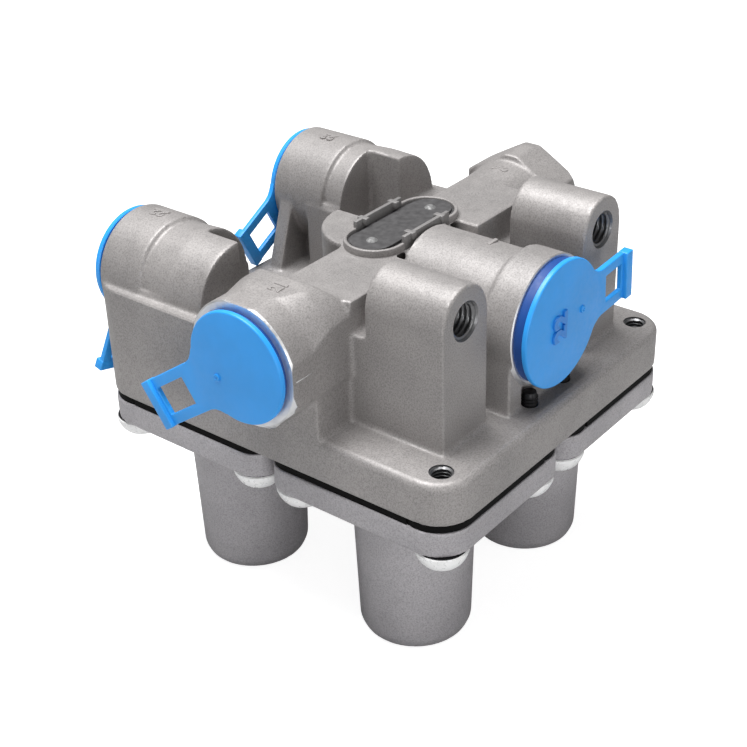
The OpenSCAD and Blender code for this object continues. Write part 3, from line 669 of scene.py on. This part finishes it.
def plate_walls():
    """The two straight walls beside the plate, each with two thicker lugs, in a darker skin that
    is painted shade.
    """
    mx, my = PLATE_MID
    top = PLATE_FLOOR_Z + WALL_H
    half_length, half_t = 10.2, 0.6
    lug_x, lug_half, lug_half_t = 6.7, 0.9, 1.6
    bm = bmesh.new()
    for s in (-1, 1):
        mid = my + s * (PLATE_HALF[1] + RIM_W / 2)
        block(bm, mx - half_length, mx + half_length, mid - half_t, mid + half_t, SEAT_LOW, top)
        mid -= s * 0.3
        for x in (mx - lug_x, mx + lug_x):
            block(bm, x - lug_half, x + lug_half, mid - lug_half_t, mid + lug_half_t,
                  PLATE_FLOOR_Z + 1.2, top + 0.15)
    return bevel(to_object(bm, "plate_walls", [SHADED_WALL]), 0.25, 2)


def plate_seat():
    for piece in (plate_rim(), plate_floor(), plate_walls()):
        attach(piece, "casting")


# Housings and screws

def housing(q):
    bm = bmesh.new()
    cad_copy(bm, f"spring_housing_{q}")
    obj = remesh(to_object(bm, f"cup_housing_{q}", [CUP]), CUP_VOXEL, 6)
    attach(obj, "casting")
    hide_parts(f"spring_housing_{q}")


def screw_places(sx, sy):
    for x in (SCREW_MID, HALF_X - SCREW_INSET):
        for y in (SCREW_MID, HALF_Y - SCREW_INSET):
            yield sx * x, sy * y


def screw_head():
    """Profile of a domed head with a round drive recess, measured down from its plate."""
    r, h, low = SCREW_HEAD_R, SCREW_HEAD_H, SHADE_RING_T
    dome = [(1, 1.5), (0.965, 2.2), (0.9, 3.3), (0.82, 4.2), (0.72, 5.0)]
    socket = [(0.6, h - 0.2), (0.52, h), (0.45, h - 0.2), (0.43, h - 2.6), (0, h - 2.8)]
    return [(0, low), (r - 0.3, low), (r, 0.6)] + [(r * share, z) for share, z in dome + socket]


def screw_shank(r, tip):
    """Profile of a shank with plain thread grooves, measured up from the flange underside."""
    shank = [(0, PLATE_LOW - 0.5), (r, PLATE_LOW - 0.5)]
    for k in range(int(tip)):
        shank += [(r - 0.05, k), (r - 0.4, k + 0.5)]
    return shank + [(r - 0.6, tip), (0, tip)]


def screws(q, sx, sy):
    shade_ring_r = SCREW_HEAD_R - 0.3
    bm = bmesh.new()
    for x, y in screw_places(sx, sy):
        plate, down = (x, y, PLATE_LOW), (0, 0, -1)
        # A black ring under each head: painted shade for the gap line between head and plate
        rod(bm, plate, down, shade_ring_r, 0.02, SHADE_RING_T, 48, 1)
        turned_mesh(bm, screw_head(), plate, down, 48)
        size = (STUD_R, STUD_TIP) if stands_proud(x, y) else (SCREW_R, SCREW_TIP)
        turned_mesh(bm, screw_shank(*size), (x, y, 0), (0, 0, 1), 32, 1)
    obj = settle(to_object(bm, f"flange_screws_{q}", [ZINC, BLACK_STEEL_AND_SHADE]), 0.5)
    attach(obj, "casting")
    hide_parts(f"housing_screws_{q}")


# Caps

# Each cap: its port, its tab's turn from straight up in degrees, how far the tab reaches from the
# axis, the disc's radius, its lift off the mouth, where the window starts and the tab's tilt
Cap = namedtuple("Cap", "port turn reach r lift window tilt")
CAPS = {
    "cap_left": Cap("left", 125, 37.6, 15.6, 1.1, 21.8, 0),
    "cap_front": Cap("front", 87, 33.4, 17.8, 2.8, 21.5, 0),
    "cap_back_left": Cap("back_left", 195, 35.2, 15.6, 1.2, 19, 13),
    "cap_back_right": Cap("back_right", 242, 32.6, 15.6, 0.7, 19, 0),
}
CAP_T = 1.6
CAP_SKIRT = 9.0
SKIRT_WALL = 1.6
CAP_UNDERCUT = 0.7
CAP_ROUND = 0.5
TAB_W = 14.0
TAB_BAR = 3.0
TAB_START = 2  # how far inside the disc's edge a tab is measured from
TAB_FLARE = [(-5, 2.7), (-1.3, 2.7), (0.3, 1.3), (1.8, 0.4), (3.6, 0)]  # (along, beyond the tab)
WINDOW_RIM = 3
TAB_EDGE = (0.28, 3, 0.7)  # bevel of a tab: its width, its segments and the least angle
PIP_SHARE = 0.52  # where the disc's pip stands, as a share of the disc's radius


def tab_way(cap):
    """The way a tab points, square to its port's axis."""
    across = (0, 1, 0) if cap.port == "left" else (1, 0, 0)
    t = math.radians(cap.turn)
    return Vector(across) * math.sin(t) + Vector((0, 0, math.cos(t)))


def cap_disc(cap):
    """Disc with a round edge and a pip, its shoulder and its hollow skirt."""
    point, out = PORTS[cap.port][:2]
    top, r, neck_r = cap.lift + CAP_T, cap.r, cap.r - CAP_UNDERCUT
    corner = [(r - CAP_ROUND * (1 - math.sin(t)), top - CAP_ROUND * (1 - math.cos(t)))
              for t in (0, 0.4, 0.8, 1.2, math.pi / 2)]
    under = [(r, cap.lift + 0.25), (r - 0.25, cap.lift), (0, cap.lift)]
    bm = bmesh.new()
    turned_mesh(bm, [(0, top)] + corner + under, point, out, FINE)
    # The shoulder takes the dark blue slot, painted shade in the gap under the disc
    rod(bm, point, out, neck_r, cap.lift + 0.3, 0.03, FINE, 1)
    skirt, hollow = PORT_DRILL_R - 0.05, PORT_DRILL_R - 0.05 - SKIRT_WALL
    turned_mesh(bm, [(0, 0.2), (skirt, 0.2), (skirt, -CAP_SKIRT), (hollow, -CAP_SKIRT),
                     (hollow, -0.5), (0, -0.5)], point, out, FINE)
    pip = [(0, -0.3), (1.1, -0.3), (1.05, 0.35), (0.85, 0.5), (0.55, 0.5), (0.35, 0.25), (0, 0.2)]
    turned_mesh(bm, [(x, top + z) for x, z in pip],
                Vector(point) + tab_way(cap) * r * PIP_SHARE, out, 32)
    return bm


def cap_tab(name):
    """The pull tab: a flat plate flaring into the disc, with a window and a thicker end bar."""
    cap = CAPS[name]
    start, half = cap.r - TAB_START, TAB_W / 2
    length = cap.reach - start
    x_axis, z_axis = tab_way(cap), Vector(PORTS[cap.port].out)
    y_axis = z_axis.cross(x_axis)
    base = Vector(PORTS[cap.port].point) + x_axis * start + z_axis * cap.lift
    c, s = math.cos(math.radians(cap.tilt)), math.sin(math.radians(cap.tilt))
    x_axis, z_axis = c * x_axis + s * z_axis, c * z_axis - s * x_axis

    def slab(label, plan, z0, z1):
        bm = bmesh.new()
        prism(bm, *([bm.verts.new(at(*(base + x_axis * x + y_axis * y + z_axis * z)))
                     for x, y in plan] for z in (z0, z1)))
        return to_object(bm, label, [BLUE])

    def oblong(x0, x1, y):
        return [(x0, -y), (x1, -y), (x1, y), (x0, y)]

    edge = [(x, half + y) for x, y in TAB_FLARE] + [(length, half)]
    piece = slab(f"{name}_tab", edge + [(x, -y) for x, y in reversed(edge)], 0, CAP_T - 0.02)
    window = oblong(cap.window - start, length - TAB_BAR - 0.6, half - WINDOW_RIM)
    cut(piece, slab("window", window, -1, CAP_T + 1))
    bevel(piece, *TAB_EDGE)
    # The bar is a little wider and longer than the plate, so that no two faces lie in one plane
    bar = slab("bar", oblong(length - TAB_BAR, length + 0.15, half + 0.15), -0.1, CAP_T + 1.2)
    join(piece, bevel(bar, *TAB_EDGE))
    return piece


def port_cap(name):
    piece = to_object(cap_disc(CAPS[name]), f"{name}_visual", [BLUE, PAINTED_SHADE_BLUE])
    join(piece, cap_tab(name))
    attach(piece, name)
    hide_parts(name)


# Raised numbers

MARK_BEVEL = 0.1
MARK_WEIGHT = 0.04  # how much the figures are thickened, as a share of their height

def raised_number(name, text, size, height, mat, body, point, along, out, radius=None):
    """Generic raised figures; on a round surface they bend about its axis, which runs along."""
    curve = bpy.data.curves.new(name, "FONT")
    curve.body = text
    curve.size = size * MM
    curve.align_x = curve.align_y = "CENTER"
    curve.extrude = height * MM
    curve.bevel_depth = MARK_BEVEL * MM
    curve.offset = MARK_WEIGHT * size * MM
    curve.bevel_resolution = 1
    holder = bpy.data.objects.new(name, curve)
    bpy.context.scene.collection.objects.link(holder)
    graph = bpy.context.evaluated_depsgraph_get()
    mesh = bpy.data.meshes.new_from_object(holder.evaluated_get(graph))
    bpy.data.objects.remove(holder)
    up, normal = Vector(along).normalized(), Vector(out).normalized()
    across = up.cross(normal)
    origin = at(*point)
    for v in mesh.vertices:
        x, y, z = v.co
        if radius is None:
            v.co = origin + across * x + up * y + normal * z
        else:
            r = radius * MM
            turn = x / r
            v.co = (origin - normal * r + up * y
                    + (across * math.sin(turn) + normal * math.cos(turn)) * (r + z))
    mesh.materials.clear()
    mesh.shade_smooth()
    mesh.set_sharp_from_angle(angle=0.6)
    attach(add_object(name, mesh, [mat]), body)


# Generic port numbers on the casting: name, figures, how far they stand out, place along X and Y,
# height over the port axis, way up, and the radius of the round surface that they lie on
PORT_MARK_SIZE = 5.0
CAP_MARK_SIZE = 8.0
PORT_MARKS = [
    ("mark_left", "21", 0.25, -51.5, -7.5, 16.95, (0, 1, 0), None),
    ("mark_back_left", "22", 0.25, -35.7, 51.3, 16.4, (-1, 0, 0), None),
    ("mark_back_right", "23", 0.25, 35.7, 49.0, 16.4, (-1, 0, 0), None),
    ("mark_right", "24", 0.4, 49.5, -6.6, 14.25, (-1, 0, 0), 14.25),
    ("mark_front", "1", 0.35, 2.5, -35.1, 15.7, (1, 0, 0), None),
]


def make_marks():
    """The port numbers, and a plain size class on the front cap."""
    for name, text, height, x, y, rise, along, radius in PORT_MARKS:
        raised_number(name, text, PORT_MARK_SIZE, height, CAST, "casting", (x, y, PORT_Z + rise),
                      along, (0, 0, 1), radius)
    cap, port = CAPS["cap_front"], PORTS["front"]
    face_y = port.point[1] - cap.lift - CAP_T
    # The figures are a darker blue than the disc, painted shade along their edges
    raised_number("mark_cap", "22", CAP_MARK_SIZE, 0.6, SHADED_FIGURE_BLUE, "cap_front",
                  (-2, face_y, PORT_Z), (-1, 0, 0), port.out)


def parting_nick():
    """The filed-off stub of the parting line on the flat side of the left port."""
    x, y, z = PORTS["left"].point
    start, end, flat, proud = 1.2, 7.1, 16.8, 0.32
    bm = bmesh.new()
    block(bm, x + start, x + end, y - flat - proud, y - flat, z - 0.05, z + 0.25)
    piece = bevel(to_object(bm, "parting_nick", [MACHINED]), 0.08, 2)
    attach(piece, "casting")


# Dressing

make_camera()
cast_body()
plate_seat()
make_threads()
for q, sx, sy in QUARTERS:
    housing(q)
    screws(q, sx, sy)
for name in CAPS:
    port_cap(name)
make_marks()
parting_nick()

dress("name_plate", PLATE)
dress("name_plate_pins", PIN)
CIRCUIT_LOOKS = {
    "diaphragm_rim": RUBBER, "diaphragm_web": RUBBER, "valve_seal": SEAL,
    "valve_piston": MACHINED, "spring_dish": BRASS, "main_spring": STEEL,
    "adjusting_plate": BRASS, "adjusting_screw": STEEL,
}
CHECK_LOOKS = {"check_valve": ACETAL, "check_spring": STEEL, "check_keeper": MACHINED}
for q, *_ in QUARTERS:
    for node, mat in CIRCUIT_LOOKS.items():
        dress(f"{node}_{q}", mat)
for side in SIDES:
    for node, mat in CHECK_LOOKS.items():
        dress(f"{node}_{side}", mat)


# Stage and light

FLOOR_HALF = 6  # metres
FLOOR_GLOW = 0.88
SKY = 0.18
MIDDLE = (CAD_BOX[0] + CAD_BOX[1]) / 2

# Each light: its place from the middle of the part and its size, in metres, and its power
LIGHTS = {
    "top_light": ((-0.08, 0.15, 0.9), 0.7, 15),
    "left_light": ((-0.95, -0.15, 0.1), 0.5, 0.3),
    "front_light": ((0.1, -1.0, 0.12), 0.45, 1.5),
    "near_light": ((-0.7, -0.75, 0.12), 0.5, 2.8),
}


def floor_white():
    """Near white where the camera sees it, mid grey to the light, and clear from below."""
    mat = bpy.data.materials.new("floor_white")
    mat.use_nodes = True
    tree = mat.node_tree
    bsdf = tree.nodes["Principled BSDF"]
    bsdf.inputs["Base Color"].default_value = (0.5, 0.5, 0.5, 1)
    bsdf.inputs["Roughness"].default_value = 0.9
    bsdf.inputs["Specular IOR Level"].default_value = 0.1
    rays = add_node(tree, "LightPath")
    seen = add_node(tree, "Math", operation="MULTIPLY")
    seen.inputs[1].default_value = FLOOR_GLOW
    glow = add_node(tree, "Emission")
    total = add_node(tree, "AddShader")
    through = add_node(tree, "BsdfTransparent")
    facing = add_node(tree, "NewGeometry")
    choose = add_node(tree, "MixShader")
    for a, b in ((rays.outputs["Is Camera Ray"], seen.inputs[0]),
                 (seen.outputs[0], glow.inputs["Strength"]),
                 (bsdf.outputs[0], total.inputs[0]),
                 (glow.outputs[0], total.inputs[1]),
                 (facing.outputs["Backfacing"], choose.inputs[0]),
                 (total.outputs[0], choose.inputs[1]),
                 (through.outputs[0], choose.inputs[2]),
                 (choose.outputs[0], tree.nodes["Material Output"].inputs["Surface"])):
        tree.links.new(a, b)
    return mat


def make_floor():
    bm = bmesh.new()
    h = FLOOR_HALF
    bm.faces.new([bm.verts.new((x, y, CAD_BOX[0].z))
                  for x, y in ((-h, -h), (h, -h), (h, h), (-h, h))])
    to_object(bm, "floor", [floor_white()])


def make_world():
    """Full white to the camera and through clear pieces, and a low even light to the rest."""
    world = bpy.data.worlds.new("studio")
    bpy.context.scene.world = world
    world.use_nodes = True
    tree = world.node_tree
    ground = tree.nodes["Background"]
    ground.inputs["Color"].default_value = (1, 1, 1, 1)
    rays = add_node(tree, "LightPath")
    seen = add_node(tree, "Math", operation="MAXIMUM")
    level = add_node(tree, "Math", operation="MULTIPLY_ADD")
    level.inputs[1].default_value = 1 - SKY
    level.inputs[2].default_value = SKY
    for a, b in ((rays.outputs["Is Camera Ray"], seen.inputs[0]),
                 (rays.outputs["Is Transmission Ray"], seen.inputs[1]),
                 (seen.outputs[0], level.inputs[0]),
                 (level.outputs[0], ground.inputs["Strength"])):
        tree.links.new(a, b)


def soft_light(name, offset, size, power):
    """A round lamp that faces the middle of the part."""
    data = bpy.data.lights.new(name, "AREA")
    data.shape = "DISK"
    data.size = size
    data.energy = power
    lamp = bpy.data.objects.new(name, data)
    lamp.location = MIDDLE + Vector(offset)
    lamp.rotation_mode = "QUATERNION"
    lamp.rotation_quaternion = (lamp.location - MIDDLE).to_track_quat("Z", "Y")
    bpy.context.scene.collection.objects.link(lamp)


make_floor()
make_world()
for name, light in LIGHTS.items():
    soft_light(name, *light)
bpy.context.scene.view_settings.view_transform = "Standard"
